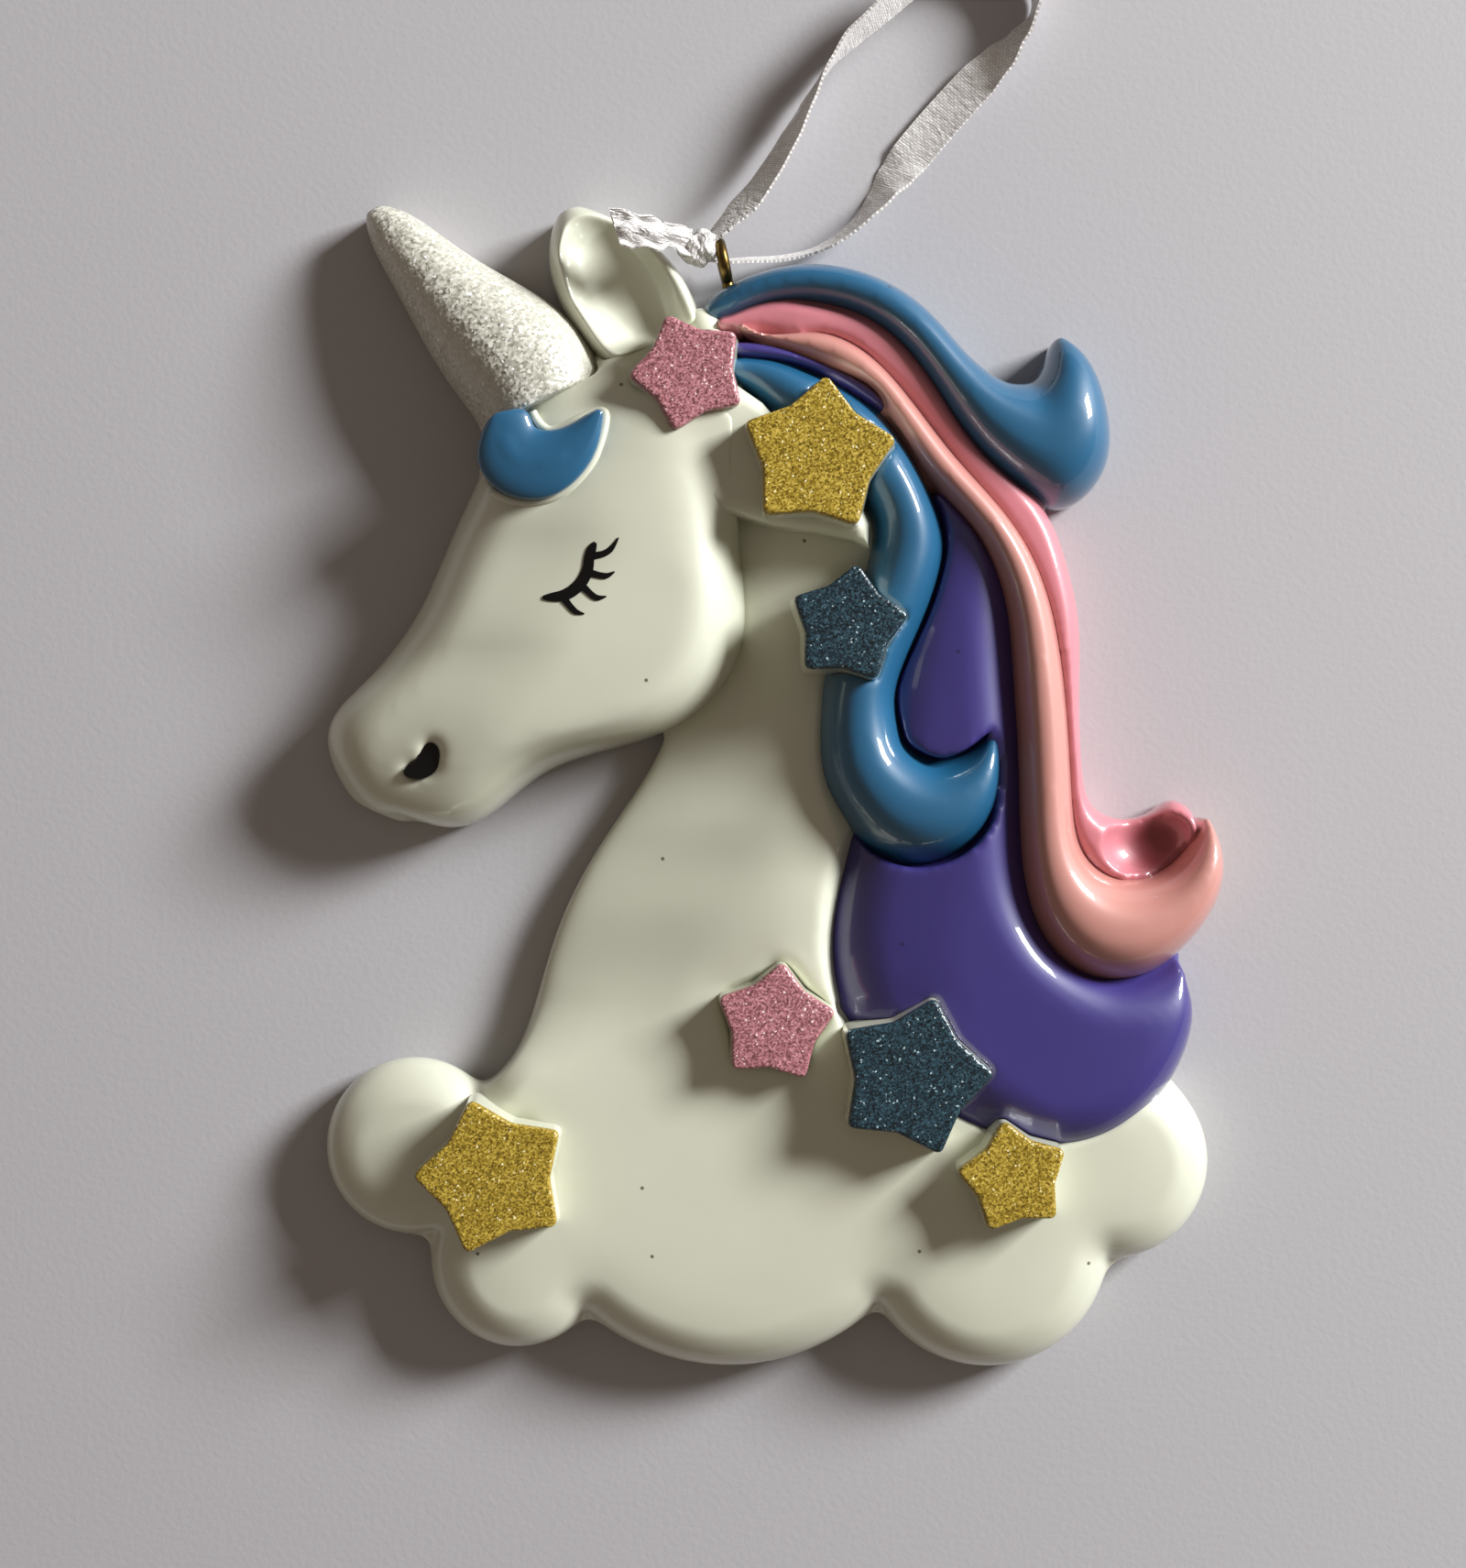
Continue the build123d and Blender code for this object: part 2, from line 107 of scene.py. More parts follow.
# %% Paper floor
bpy.ops.object.select_all(action="DESELECT")
bpy.ops.mesh.primitive_plane_add(size=2, location=(0, 0, -0.1 * MM))
floor = bpy.context.object
floor.name = "paper"
PAPER_FIBRE = 0.6 * MM
material, tree, shader = new_material("cartridge_paper")
place = node(tree, "ShaderNodeTexCoord")
tooth = node(tree, "ShaderNodeTexNoise", {"Vector": place.outputs["Object"]},
             {"Scale": 1 / PAPER_FIBRE, "Detail": 4})
bump = node(tree, "ShaderNodeBump", {"Height": tooth.outputs["Fac"]},
            {"Strength": 0.4, "Distance": 0.06 * MM})
tree.links.new(bump.outputs["Normal"], shader.inputs["Normal"])
shader.inputs["Base Color"].default_value = paint("#B9B7BA")
shader.inputs["Roughness"].default_value = 0.9
floor.data.materials.append(material)
print("paper fibre:", PAPER_FIBRE)

# %% [markdown]
# A window at the upper right lights the picture from low down: shadows fall long to the left, and the
# lacquer shows bright bars on the slopes that face it. One area lamp stands for the window, and an even
# dim world, a little warm, for the room. Together they light a flat sheet at about 1, so a colour
# renders as it is written.

# %% Window and room
WINDOW_PLACE = Vector((0.88, 0.51, 0.455))
bpy.ops.object.select_all(action="DESELECT")
bpy.ops.object.light_add(type="AREA", location=WINDOW_PLACE)
window = bpy.context.object
window.name = "window"
window.data.shape = "RECTANGLE"
window.data.size = 0.36
window.data.size_y = 0.3
window.data.energy = 25
window.data.color = (0.97, 0.985, 1.0)
window.rotation_euler = (-WINDOW_PLACE).to_track_quat("-Z", "Y").to_euler()
room = bpy.data.worlds.new("pale_room")
room.use_nodes = True
room.node_tree.nodes["Background"].inputs["Color"].default_value = paint("#F1DDCB")
room.node_tree.nodes["Background"].inputs["Strength"].default_value = 0.2
scene.world = room
print("window:", tuple(window.location))

# %% [markdown]
# The hanger is a narrow satin ribbon: up from the knot, round in a loop, and back to the eye. Its line
# comes first, as a NURBS spline through the loop's route, because a ribbon lies in one smooth curve.
# It leaves the eye a little above the paper and sinks until its lower edge lies on it.

# %% Line of the ribbon
SHIFT = 0.034
LOOP_ROUTE = [(-6.4, 51.0, 4.9), (-4.2, 53.2, 4.6), (-1.3, 56.5, 3.8), (1.8, 61.7, 3.2), (4.5, 67.2, 2.9),
              (6.9, 70.6, 2.8), (10.0, 73.2, 2.7), (13.8, 77.0, 2.5), (19.0, 78.9, 2.4), (24.3, 78.2, 2.3),
              (25.7, 74.6, 2.2), (23.0, 70.8, 1.9), (18.7, 66.5, 1.2), (15.3, 62.8, 0.9), (11.9, 58.6, 1.0),
              (9.0, 54.2, 2.0), (5.1, 51.3, 1.8), (1.2, 50.3, 1.7), (-2.4, 49.9, 3.3), (-4.7, 49.6, 4.0),
              (-6.9, 49.9, 4.4)]
curve = bpy.data.curves.new("ribbon_line", "CURVE")
curve.dimensions = "3D"
spline = curve.splines.new("NURBS")
spline.points.add(len(LOOP_ROUTE) - 1)
for point, (x, y, z) in zip(spline.points, LOOP_ROUTE):
    point.co = ((x + SHIFT) * MM, y * MM, z * MM, 1)
spline.order_u = 3
spline.use_endpoint_u = True
spline.resolution_u = 20
line = bpy.data.objects.new("ribbon_line", curve)
scene.collection.objects.link(line)
bpy.context.view_layer.update()
line_mesh = bpy.data.meshes.new_from_object(line)
ribbon_path = [v.co.copy() for v in line_mesh.vertices]
bpy.data.objects.remove(line)


def run_along(path):
    """Distance from the start of a path to each of its points."""
    run = [0.0]
    for before, after in zip(path, path[1:]):
        run.append(run[-1] + (after - before).length)
    return run


# %% [markdown]
# Satin is woven with long floats, so it glints in rows of short dashes that are laid like bricks. A
# brick texture on the ribbon's own UV map, in millimetres, gives each float its place and its tone:
# the light floats are painted glints and the grey ones painted shade, and the brick joints are the
# dark gaps between floats, as painted shade. True floats are about 0.2 mm long. They are drawn at
# 0.5 mm, so that they still show in the picture. Near the knot the ribbon is crumpled, and the
# puckers, which run across it, are deepest there.

# %% Satin ribbon finish
FLOAT_LENGTH = 0.5
FLOAT_PITCH = 0.24
satin, tree, shader = new_material("woven_polyester_satin")
uv = node(tree, "ShaderNodeUVMap", uv_map="weave")
# Painted glint and shade: floats mix near-white and grey, and the joints between them are darker.
floats = node(tree, "ShaderNodeTexBrick", {"Vector": uv.outputs["UV"]},
              {"Scale": 1.0, "Brick Width": FLOAT_LENGTH, "Row Height": FLOAT_PITCH, "Mortar Size": 0.035,
               "Mortar Smooth": 0.4, "Color1": paint("#F4F3F1"), "Color2": paint("#D9D5D2"),
               "Mortar": paint("#B7B0AB")})
spread = node(tree, "ShaderNodeMapping", {"Vector": uv.outputs["UV"]}, {"Scale": (0.6, 1.3, 1.0)})
puckers = node(tree, "ShaderNodeTexNoise", {"Vector": spread.outputs["Vector"]},
               {"Scale": 1.0, "Detail": 1, "Distortion": 1.2})
length = node(tree, "ShaderNodeSeparateXYZ", {"Vector": uv.outputs["UV"]})
crumple = node(tree, "ShaderNodeMapRange", {"Value": length.outputs["Y"]},
               {"From Min": 5.0, "From Max": 14.0, "To Min": 1.0, "To Max": 0.25})
threads = node(tree, "ShaderNodeBump", {"Height": floats.outputs["Fac"]},
               {"Strength": 0.6, "Distance": 0.05 * MM}, invert=True)
relief = node(tree, "ShaderNodeBump",
              {"Height": puckers.outputs["Fac"], "Normal": threads.outputs["Normal"],
               "Strength": crumple.outputs["Result"]}, {"Distance": 0.5 * MM})
tree.links.new(floats.outputs["Color"], shader.inputs["Base Color"])
tree.links.new(relief.outputs["Normal"], shader.inputs["Normal"])
shader.inputs["Roughness"].default_value = 0.18
shader.inputs["Sheen Weight"].default_value = 0.2
print("satin floats:", FLOAT_LENGTH, "by", FLOAT_PITCH, "mm")

# %% [markdown]
# The ribbon itself is a strip that follows the points of the line. In the picture its seen width
# changes as it leans and turns over once on the left side, so a short list gives the lean at
# millimetres along it: 0 lies flat, 90 stands on edge, and 180 lies flat with its other face up. A
# second list gives its share of the full width, which shrinks where it is gathered for the eye.

# %% Ribbon loop
RIBBON_WIDTH = 4.0 * MM
RIBBON_LEAN = [(0, 60), (5, 50), (9, 57), (13, 62), (17, 72), (21.5, 89), (25, 104), (33, 118), (39, 116),
               (44, 100), (48, 96), (51, 116), (54, 143), (57, 162), (66, 164), (68.5, 146), (71, 126),
               (74, 114), (78, 112), (84, 116), (90, 110)]
RIBBON_TAPER = [(0, 0.45), (2.5, 0.7), (6, 1.0), (70, 1.0), (77, 0.7), (81, 0.42), (86, 0.36), (90, 0.36)]
ACROSS = [-1.0, -0.92, -0.5, 0.0, 0.5, 0.92, 1.0]


def along(table, reach):
    """Value of a short table of (reach, value) rows at a reach, eased between its rows."""
    for (s0, v0), (s1, v1) in zip(table, table[1:]):
        if reach <= s1:
            t = (reach - s0) / (s1 - s0)
            t = t * t * (3 - 2 * t)
            return v0 + (v1 - v0) * t
    return table[-1][1]


def strip(name, path, lean, taper, width, across):
    """A strip mesh along a path, with its weave map in millimetres."""
    run = run_along(path)
    verts = []
    maps = []
    for i, centre in enumerate(path):
        reach = run[i] / MM
        ahead = path[min(i + 1, len(path) - 1)] - path[max(i - 1, 0)]
        ahead.normalize()
        side = ahead.cross(Vector((0, 0, 1)))
        side.normalize()
        up = side.cross(ahead)
        turn = math.radians(along(lean, reach))
        half = width / 2 * along(taper, reach)
        out = side * math.cos(turn) + up * math.sin(turn)
        face = out.cross(ahead)
        for k in across:
            cup = 0.06 * half * (1 - k * k)
            verts.append(centre + out * (half * k) + face * cup)
            maps.append((k * width / 2 / MM, run[i] / MM))
    n = len(across)
    faces = []
    for i in range(len(path) - 1):
        for j in range(n - 1):
            a = i * n + j
            faces.append((a, a + 1, a + n + 1, a + n))
    mesh = bpy.data.meshes.new(name)
    mesh.from_pydata(verts, [], faces)
    layer = mesh.uv_layers.new(name="weave")
    for loop in mesh.loops:
        layer.data[loop.index].uv = maps[loop.vertex_index]
    made = bpy.data.objects.new(name, mesh)
    scene.collection.objects.link(made)
    return made


def select_only(piece):
    """Make one object the only selected one, and the active one."""
    bpy.ops.object.select_all(action="DESELECT")
    bpy.context.view_layer.objects.active = piece
    piece.select_set(True)


def apply_all(piece):
    """Apply a piece's modifiers in order, with only that piece selected."""
    select_only(piece)
    for name in [m.name for m in piece.modifiers]:
        bpy.ops.object.modifier_apply(modifier=name)


ribbon = strip("ribbon_strip", ribbon_path, RIBBON_LEAN, RIBBON_TAPER, RIBBON_WIDTH, ACROSS)
wall = ribbon.modifiers.new("wall", "SOLIDIFY")
wall.thickness = 0.25 * MM
wall.offset = 0
apply_all(ribbon)
bpy.ops.object.shade_smooth_by_angle(angle=math.radians(50))
ribbon.data.materials.append(satin)
print("ribbon strip:", len(ribbon.data.polygons), "faces")

# %% [markdown]
# The knot is the same ribbon pulled tight round itself: a lump with folds that run over it. A sphere
# primitive is stretched to the lump's size, and waves of folds are pressed into it by moving points
# in and out along their normals.

# %% Ribbon knot
KNOT_PLACE = Vector(((-7.0 + SHIFT) * MM, 50.7 * MM, 4.9 * MM))
KNOT_SIZE = (1.95, 1.75, 1.8)
bpy.ops.object.select_all(action="DESELECT")
bpy.ops.mesh.primitive_uv_sphere_add(segments=96, ring_count=64, radius=1, location=KNOT_PLACE)
knot = bpy.context.object
knot.name = "ribbon_knot_wraps"
for v in knot.data.vertices:
    x, y, z = v.co
    fold = math.sin(4.2 * x + 6.5 * y + 2 * z + math.sin(5 * x)) * 0.06
    fold += math.sin(9 * x - 4 * y + 5 * z + 2 * math.sin(3 * y)) * 0.05
    waist = 1 - 0.12 * math.exp(-((x + 0.5 * y - 0.1) / 0.16) ** 2)
    v.co = Vector((x * KNOT_SIZE[0], y * KNOT_SIZE[1], z * KNOT_SIZE[2])) * (waist + fold) * MM
bpy.ops.object.transform_apply(location=True, rotation=True, scale=True)
knot.data.uv_layers.remove(knot.data.uv_layers.active)
layer = knot.data.uv_layers.new(name="weave")
for loop in knot.data.loops:
    corner = knot.data.vertices[loop.vertex_index].co / MM
    layer.data[loop.index].uv = (corner.y + corner.z, corner.x - corner.z)
bpy.ops.object.shade_smooth()
knot.data.materials.append(satin)
print("knot:", len(knot.data.polygons), "faces")

# %% [markdown]
# The cut tail of the ribbon stands out to the left over the ear: gathered where it leaves the knot,
# spread and crinkled at its slanted end. A grid primitive gives enough faces to fold, and its points
# are then moved as a hand would press pleats into it.

# %% Ribbon tail
TAIL_ROOT = Vector(((-7.6 + SHIFT) * MM, 51.0 * MM, 6.0 * MM))
TAIL_END_TOP = Vector(((-15.2 + SHIFT) * MM, 53.4 * MM, 10.2 * MM))
TAIL_END_LOW = Vector(((-14.2 + SHIFT) * MM, 50.0 * MM, 9.4 * MM))
bpy.ops.object.select_all(action="DESELECT")
bpy.ops.mesh.primitive_grid_add(x_subdivisions=48, y_subdivisions=20, size=1)
tail = bpy.context.object
tail.name = "ribbon_tail_strip"
layer = tail.data.uv_layers.active
layer.name = "weave"
for loop in tail.data.loops:
    flat = tail.data.vertices[loop.vertex_index].co
    layer.data[loop.index].uv = (flat.x * 8, flat.y * RIBBON_WIDTH / MM)
for v in tail.data.vertices:
    share = v.co.x + 0.5
    k = v.co.y * 2
    end = TAIL_END_TOP.lerp(TAIL_END_LOW, 0.5 - k / 2)
    root = TAIL_ROOT + Vector((0, k * 1.3 * MM, 0))
    spot = root.lerp(end, share)
    pleat = math.sin(k * 5.2 + share * 2.0) * (0.42 - 0.24 * share)
    crinkle = math.sin(share * 24 + k * 3 + math.sin(k * 4)) * 0.09 + math.sin(share * 15 - k * 6) * 0.1
    pinch = 0.35 * math.exp(-((share - 0.3) / 0.1) ** 2) * max(-k, 0)
    spot.y += (pinch + 0.12 * math.sin(share * 17) * k) * MM
    arch = math.sin(share * math.pi) * 0.7
    spot.z += (pleat + crinkle + arch) * MM
    v.co = spot
wall = tail.modifiers.new("wall", "SOLIDIFY")
wall.thickness = 0.22 * MM
wall.offset = 0
apply_all(tail)
bpy.ops.object.shade_smooth_by_angle(angle=math.radians(50))
tail.data.materials.append(satin)
for piece, solid in ((ribbon, "ribbon_loop"), (knot, "ribbon_knot"), (tail, "ribbon_tail")):
    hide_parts(solid)
    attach(piece, "hanger")
print("tail:", len(tail.data.polygons), "faces")

# %% [markdown]
# The castings were painted with flat acrylic and then dipped in clear lacquer. What the eye gets is
# an even colour, a little thicker in one place than another, under a wet-looking skin: a coat with
# sharp reflections, and a slow waviness where the lacquer flowed before it set.

# %% Lacquered paints
def lacquered(name, colour, deeper, speck, painted_shade=None, cloud=14.0, flow=5.0):
    """Acrylic paint under clear lacquer, with pinholes. If given, a painted shade darkens the paint round x,
    y within a reach, to the given tone.
    """
    material, tree, shader = new_material(name)
    place = node(tree, "ShaderNodeTexCoord")
    patches = node(tree, "ShaderNodeTexNoise", {"Vector": place.outputs["Object"]},
                   {"Scale": 1 / (cloud * MM), "Detail": 3, "Roughness": 0.6})
    tone = node(tree, "ShaderNodeMix", {"Factor": patches.outputs["Fac"]},
                {6: paint(colour), 7: paint(deeper)}, data_type="RGBA")
    # Painted shade: the colour darkens towards x, y, as a hollow that lies in shade there.
    if painted_shade:
        x, y, reach, shade_tone = painted_shade
        flat = node(tree, "ShaderNodeVectorMath", {0: place.outputs["Object"]}, {1: (1, 1, 0)},
                    operation="MULTIPLY")
        away = node(tree, "ShaderNodeVectorMath", {0: flat.outputs[0]}, {1: (x * MM, y * MM, 0)},
                    operation="DISTANCE")
        depth = node(tree, "ShaderNodeMapRange", {"Value": away.outputs["Value"]},
                     {"From Min": reach * 0.3 * MM, "From Max": reach * MM, "To Min": 1.0, "To Max": 0.0},
                     interpolation_type="SMOOTHSTEP")
        tone = node(tree, "ShaderNodeMix", {"Factor": depth.outputs["Result"], 6: tone.outputs[2]},
                    {7: paint(shade_tone)}, data_type="RGBA")
    holes = node(tree, "ShaderNodeTexVoronoi", {"Vector": place.outputs["Object"]},
                 {"Scale": 1 / (20 * MM)}, voronoi_dimensions="2D")
    hole = node(tree, "ShaderNodeMapRange", {"Value": holes.outputs["Distance"]},
                {"From Min": 0.006, "From Max": 0.011, "To Min": 1.0, "To Max": 0.0})
    tone = node(tree, "ShaderNodeMix", {"Factor": hole.outputs["Result"], 6: tone.outputs[2]},
                {7: paint(speck)}, data_type="RGBA")
    waves = node(tree, "ShaderNodeTexNoise", {"Vector": place.outputs["Object"]},
                 {"Scale": 1 / (flow * MM), "Detail": 1})
    skin = node(tree, "ShaderNodeBump", {"Height": waves.outputs["Fac"]},
                {"Strength": 0.12, "Distance": 0.15 * MM})
    tree.links.new(tone.outputs[2], shader.inputs["Base Color"])
    tree.links.new(skin.outputs["Normal"], shader.inputs["Normal"])
    tree.links.new(skin.outputs["Normal"], shader.inputs["Coat Normal"])
    shader.inputs["Roughness"].default_value = 0.45
    shader.inputs["Coat Weight"].default_value = 1.0
    shader.inputs["Coat Roughness"].default_value = 0.04
    shader.inputs["Coat IOR"].default_value = 1.5
    return material


white_gloss = lacquered("lacquered_ivory_acrylic", "#DBDDCA", "#D2D3BE", "#6E695C")
blue_gloss = lacquered("lacquered_sky_blue_acrylic", "#1E6289", "#195578", "#123A50")
# Painted shade in the hollow of the pink curl: the rose goes dark red towards its middle.
CURL_SHADE = (36.3, -5.6, 4.2, "#7C2A33")
rose_gloss = lacquered("lacquered_rose_acrylic", "#D4858E", "#CA7883", "#E3A9AE", CURL_SHADE)
salmon_gloss = lacquered("lacquered_salmon_acrylic", "#CA9087", "#C1857B", "#A66B62")
purple_gloss = lacquered("lacquered_violet_acrylic", "#3E3580", "#342C72", "#221B52")
print("lacquered paints: 5")

# %% [markdown]
# Each casting starts as a copy of its solid, because the solids already have the forms. A real casting
# has no sharp edge left after paint and lacquer, so the copy is merged, remeshed into an even skin and
# smoothed, most of all far from the pieces that lie on it. Where it meets one of those, its edge is
# pushed a little under it, so that no seam gapes. It then swells by the lacquer's thickness, and last
# the back is made flat again, as it was sanded.

# %% Helpers for castings
def copy_of(solids, name):
    """One new object with merged copies of some solids."""
    parts = []
    for solid in solids:
        part = bpy.data.objects.new(name, nodes[solid].data.copy())
        scene.collection.objects.link(part)
        parts.append(part)
    select_only(parts[0])
    for part in parts:
        part.select_set(True)
    if len(parts) > 1:
        bpy.ops.object.join()
    piece = bpy.context.object
    piece.name = name
    piece.data.materials.clear()
    if piece.data.has_custom_normals:
        bpy.ops.mesh.customdata_custom_splitnormals_clear()
    bpy.ops.object.mode_set(mode="EDIT")
    bpy.ops.mesh.select_all(action="SELECT")
    bpy.ops.mesh.remove_doubles(threshold=0.001 * MM)
    bpy.ops.object.mode_set(mode="OBJECT")
    return piece


def weigh_by_distance(piece, name, target, zero_at, full_at):
    """A vertex group that runs from 0 to 1 between two distances, in millimetres, from a target."""
    group = piece.vertex_groups.new(name=name)
    group.add(range(len(piece.data.vertices)), 1.0, "REPLACE")
    near = piece.modifiers.new(name + "_weight", "VERTEX_WEIGHT_PROXIMITY")
    near.vertex_group = name
    near.target = target
    near.proximity_mode = "GEOMETRY"
    near.proximity_geometry = {"FACE"}
    near.min_dist = zero_at * MM
    near.max_dist = full_at * MM


def tuck(piece, name, lap):
    """Slide the edges in a vertex group outwards and a little down, by a lap in millimetres."""
    index = piece.vertex_groups[name].index
    moves = []
    for v in piece.data.vertices:
        share = max((g.weight for g in v.groups if g.group == index), default=0)
        flat = Vector((v.normal.x, v.normal.y, 0))
        if share > 0 and flat.length > 0.3:
            moves.append((v, (flat.normalized() + Vector((0, 0, -0.4))) * (lap * share * MM)))
    for v, move in moves:
        v.co += move


def sand_back(piece):
    """Make the back flat, just above the paper."""
    for v in piece.data.vertices:
        v.co.z = max(v.co.z, 0.02 * MM)


def cast_copy(solid, name, voxel, rounds, swell, uppers=(), lap=0.5):
    """A softened copy of a solid that laps under the uppers, with its sizes in millimetres."""
    piece = copy_of([solid], name)
    skin = piece.modifiers.new("skin", "REMESH")
    skin.mode = "VOXEL"
    skin.voxel_size = voxel * MM
    apply_all(piece)
    cover = copy_of(uppers, "cover") if uppers else None
    soften = piece.modifiers.new("soften", "SMOOTH")
    soften.factor = 0.5
    soften.iterations = min(rounds, 6)
    if cover:
        weigh_by_distance(piece, "open", cover, 0.6, 2.5)
    melt = piece.modifiers.new("melt", "SMOOTH")
    melt.factor = 0.5
    melt.iterations = rounds
    if cover:
        melt.vertex_group = "open"
        weigh_by_distance(piece, "seam", cover, 0.55, 0.2)
    apply_all(piece)
    if cover:
        tuck(piece, "seam", lap)
        bpy.data.objects.remove(cover)
        settle = piece.modifiers.new("settle", "SMOOTH")
        settle.iterations = 4
    coat = piece.modifiers.new("coat", "DISPLACE")
    coat.strength = swell * MM
    coat.mid_level = 0
    apply_all(piece)
    piece.vertex_groups.clear()
    sand_back(piece)
    select_only(piece)
    bpy.ops.object.shade_smooth_by_angle(angle=math.radians(60))
    return piece


print("casting helpers ready")

# %% [markdown]
# Ten castings follow, those on top before those that lap under them. Each row gives the finish, the
# slot of the record, the size of the skin's mesh, the rounds of smoothing, the lacquer's thickness,
# the pieces it laps under and how far, with sizes in millimetres.

# %% Castings
CASTINGS = {
    "ear": (white_gloss, "white_gloss", 0.2, 6, 0.08, [], 0.5),
    "forelock": (blue_gloss, "blue_gloss", 0.2, 8, 0.1, [], 0.5),
    "purple_strand": (purple_gloss, "purple_gloss", 0.16, 6, 0.12, [], 0.5),
    "front_lock": (blue_gloss, "blue_gloss", 0.26, 14, 0.1, ["purple_strand"], 0.5),
    "pink_ridge": (salmon_gloss, "salmon_gloss", 0.26, 14, 0.1, ["purple_strand", "front_lock"], 0.6),
    "rear_lock": (blue_gloss, "blue_gloss", 0.26, 14, 0.1, ["pink_ridge"], 0.6),
    "pink_band": (rose_gloss, "rose_gloss", 0.24, 10, 0.1, ["pink_ridge", "rear_lock", "purple_strand"], 0.7),
    "purple_lock": (purple_gloss, "purple_gloss", 0.28, 14, 0.1,
                    ["pink_ridge", "front_lock", "pink_band"], 1.0),
    "head": (white_gloss, "white_gloss", 0.3, 30, 0.12, ["ear", "forelock", "horn", "front_lock"], 0.8),
    "body": (white_gloss, "white_gloss", 0.36, 110, 0.2,
             ["head", "front_lock", "purple_lock", "pink_ridge", "pink_band"], 1.2),
}
castings = {}
for solid, (finish, slot, voxel, rounds, swell, uppers, lap) in CASTINGS.items():
    piece = cast_copy(solid, solid + "_casting", voxel, rounds, swell, uppers, lap)
    piece.data.materials.append(finish)
    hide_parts(solid)
    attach(piece, "ornament")
    castings[solid] = piece
    print(piece.name, len(piece.data.polygons), "faces")

# %% [markdown]
# The relief was modelled by hand, and it is crowned: neck, cheek and purple lock stand highest beside
# the mane and fall away to the left. The castings get this crown by lowering their points towards a
# line on the left, given as places (y, x), and not below their upright edge.

# %% Crown of the relief
def ease(value, low, high):
    """Smooth step from 0 at low to 1 at high."""
    t = min(max((value - low) / (high - low), 0), 1)
    return t * t * (3 - 2 * t)


EDGE_LEVEL = 2.5


def crown(piece, left, reach, low, high, fade=None):
    """Scale heights from low at the left line to high a reach beyond it; fade is where it dies out."""
    for v in piece.data.vertices:
        x, y, z = v.co / MM
        if z > EDGE_LEVEL:
            share = low + (high - low) * ease(x - along(left, y), 0, reach)
            if fade:
                share = 1 + (share - 1) * ease(y, *fade)
            v.co.z = (EDGE_LEVEL + (z - EDGE_LEVEL) * share) * MM


NECK_LEFT = [(-40, -30), (-30, -28), (-25.6, -24.6), (-14.2, -20.6), (-5.4, -16.2), (2.6, -11), (12, -8),
             (40, -6)]
HEAD_LEFT = [(-4, -38), (4.2, -42.2), (13, -36), (23.4, -30.4), (33, -26), (41.4, -17)]
PURPLE_LEFT = [(-34, 16), (-23, 6.8), (-16.4, 5), (-4.8, 6.8), (12, 10), (27, 13.4)]
CLOUD_LEFT = [(-60, -43), (60, -43)]
crown(castings["body"], NECK_LEFT, 24, 0.32, 1.1, (-36, -16))
crown(castings["body"], CLOUD_LEFT, 19, 0.55, 1.0)
crown(castings["head"], HEAD_LEFT, 18, 0.74, 1.0)
crown(castings["purple_lock"], PURPLE_LEFT, 13, 0.84, 1.05)
print("crowned: body, head, purple lock")

# %% [markdown]
# The cloud is one flat sheet with a scalloped rim. Its outline is that of six round puffs: points are
# taken along each circle, and those inside another puff, or under neck and mane, are dropped. The
# distance from the outline then gives the height, as a quarter ellipse that ends in a level sheet, so
# that the valleys between the puffs stay short.

# %% Flat cloud
PUFFS = [(-34.1, -34.2, 8.4), (-24.2, -45.0, 8.3), (-4.2, -34.5, 20.5),
         (20.2, -43.3, 11.8), (32.0, -35.5, 9.4), (18.9, -32.4, 8.7)]
CLOUD_TOP = 7.0
RIM_WIDTH = 6.0
RIM_STEPS = 240
outline = []
for px, py, radius in PUFFS:
    for step in range(RIM_STEPS):
        x = px + radius * math.cos(step * math.tau / RIM_STEPS)
        y = py + radius * math.sin(step * math.tau / RIM_STEPS)
        covered = any(math.hypot(x - qx, y - qy) < r - 0.01 for qx, qy, r in PUFFS)
        if not covered and not (-28 < x < 27 and y > -33):
            outline.append(((x + SHIFT) * MM, y * MM, 0))
rim = kdtree.KDTree(len(outline))
for i, point in enumerate(outline):
    rim.insert(point, i)
rim.balance()
for v in castings["body"].data.vertices:
    x, y, z = v.co / MM
    if z > EDGE_LEVEL and y < -20:
        inward = rim.find((v.co.x, v.co.y, 0))[2] / MM
        rise = 1 - min(inward / RIM_WIDTH, 1)
        tilt = 1 - 0.3 * (1 - ease(x, -43, -22))
        sheet = EDGE_LEVEL + (CLOUD_TOP - EDGE_LEVEL) * math.sqrt(1 - rise ** 2) * tilt
        v.co.z += (sheet - z) * ease(-y, 20, 31) * ease(z, EDGE_LEVEL, 3.5) * MM
print("cloud levelled at", CLOUD_TOP, "mm, outline points:", len(outline))

# %% [markdown]
# What is nearly level on cloud and neck is then relaxed like a film: only heights are smoothed, many
# times, and only where the skin faces up, so that the rim keeps its roundness.

